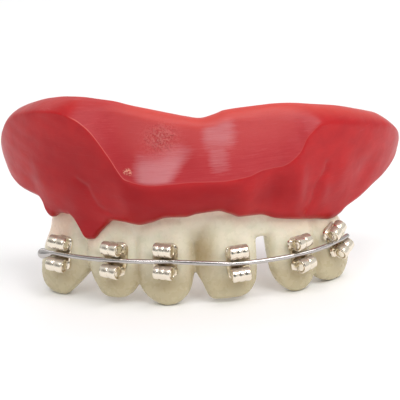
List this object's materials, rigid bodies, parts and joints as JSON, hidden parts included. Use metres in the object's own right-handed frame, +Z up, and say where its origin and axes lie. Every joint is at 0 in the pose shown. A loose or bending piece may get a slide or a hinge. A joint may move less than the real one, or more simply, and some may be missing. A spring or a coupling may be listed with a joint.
{
  "type": "denture",
  "caption": "Costume upper denture with braces: a red gum with two wings and a trough behind it, a fused strip of teeth, metal brackets and one archwire.",
  "frame": {"origin": "on the surface that the tips of the teeth rest on, under the middle of the part's box", "axes": "+Z up, from the tips of the teeth to the gum; -Y out of the front of the mouth; +X to the right as seen from the front"},
  "size_m": [0.059, 0.0204, 0.0313],
  "materials": {
    "gum": "polished red acrylic, with a ground panel along the top",
    "teeth": "polished ivory acrylic, a little stained near the brackets",
    "bracket": "polished",
    "wire": "drawn, satin"
  },
  "bodies": {
    "root": {"gum_base": "gum", "tooth_strip": "teeth", "bracket_1": "bracket", "bracket_2": "bracket", "bracket_3": "bracket", "bracket_4": "bracket", "bracket_5": "bracket", "bracket_6": "bracket", "archwire": "wire"}
  },
  "joints": []
}
